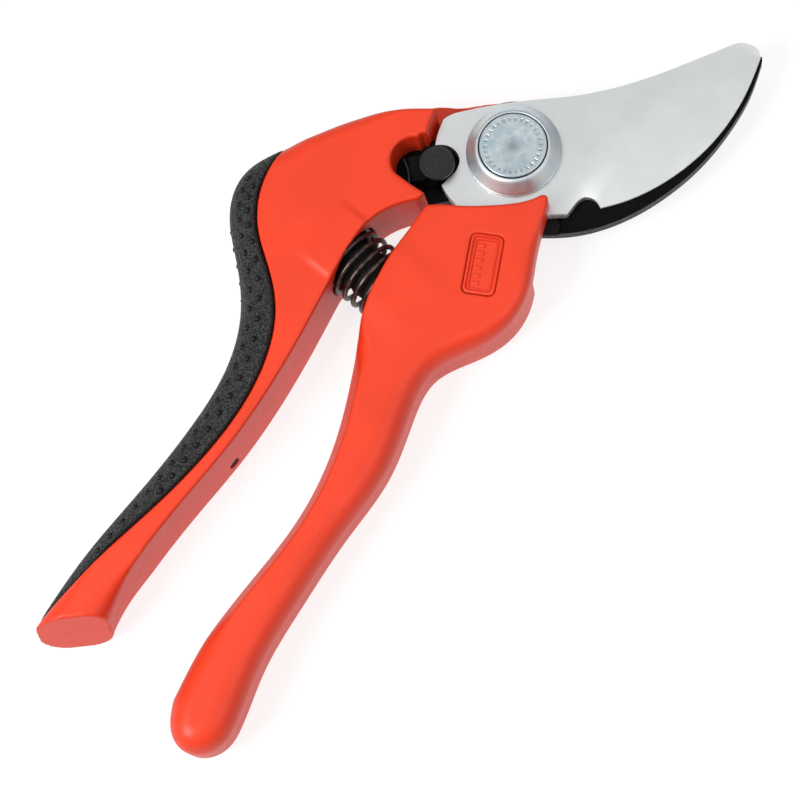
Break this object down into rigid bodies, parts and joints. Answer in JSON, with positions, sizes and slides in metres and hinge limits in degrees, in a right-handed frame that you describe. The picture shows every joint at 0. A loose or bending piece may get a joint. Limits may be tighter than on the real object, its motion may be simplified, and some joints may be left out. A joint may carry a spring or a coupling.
{
  "type": "bypass pruning shears",
  "caption": "Bypass pruning shears with composite handles, a soft grip pad, a steel cutting blade over a coated counter blade, coil spring and thumb lock",
  "frame": {"origin": "Middle of the bolt's end, flush with the pivot nut's rear face, on the pivot axis; z = 0 is the plane the shears lie on", "axes": "+X from the handles to the blade tip, +Y from the lower handle to the upper handle, +Z along the pivot axis from the nut to the bolt's head"},
  "size_m": [0.2069, 0.0895, 0.0185],
  "materials": {
    "orange_composite": "satin glass-filled moulding",
    "grip_elastomer": "pebbled soft elastomer",
    "blade_steel": "satin ground",
    "coated_steel": "black low-friction coating",
    "zinc_steel": "bright zinc plating",
    "spring_steel": "oil-hardened wire",
    "buffer_rubber": "moulded rubber",
    "black_plastic": "fine turned rings"
  },
  "bodies": {
    "upper": {"upper_handle": "orange_composite", "soft_grip_pad": "grip_elastomer", "counter_blade": "coated_steel", "counter_blade_rivets": "zinc_steel", "closing_stop": "buffer_rubber", "pivot_bush": "zinc_steel", "friction_washer": "zinc_steel", "pivot_collar": "zinc_steel", "center_bolt": "zinc_steel", "spring_washer": "zinc_steel", "pivot_nut": "zinc_steel", "lock_spring": "spring_steel", "main_spring": "spring_steel", "rubber_buffer": "buffer_rubber"},
    "lower": {"lower_handle": "orange_composite", "cutting_blade": "blade_steel", "cutting_blade_rivets": "zinc_steel"},
    "lock": {"lock_slider": "black_plastic", "lock_button": "black_plastic", "lock_rivet": "black_plastic", "lock_rear_washer": "black_plastic"}
  },
  "joints": [
    {"name": "pivot_open", "type": "hinge", "parent": "upper", "child": "lower", "pos_m": [0, 0, 0], "axis": [0, 0, 1], "range_deg": [0, 38], "deforming": ["main_spring"]},
    {"name": "lock_slide", "type": "slide", "parent": "upper", "child": "lock", "axis": [-0.81, 0.5864, 0], "range_m": [-0.0022, 0]}
  ]
}
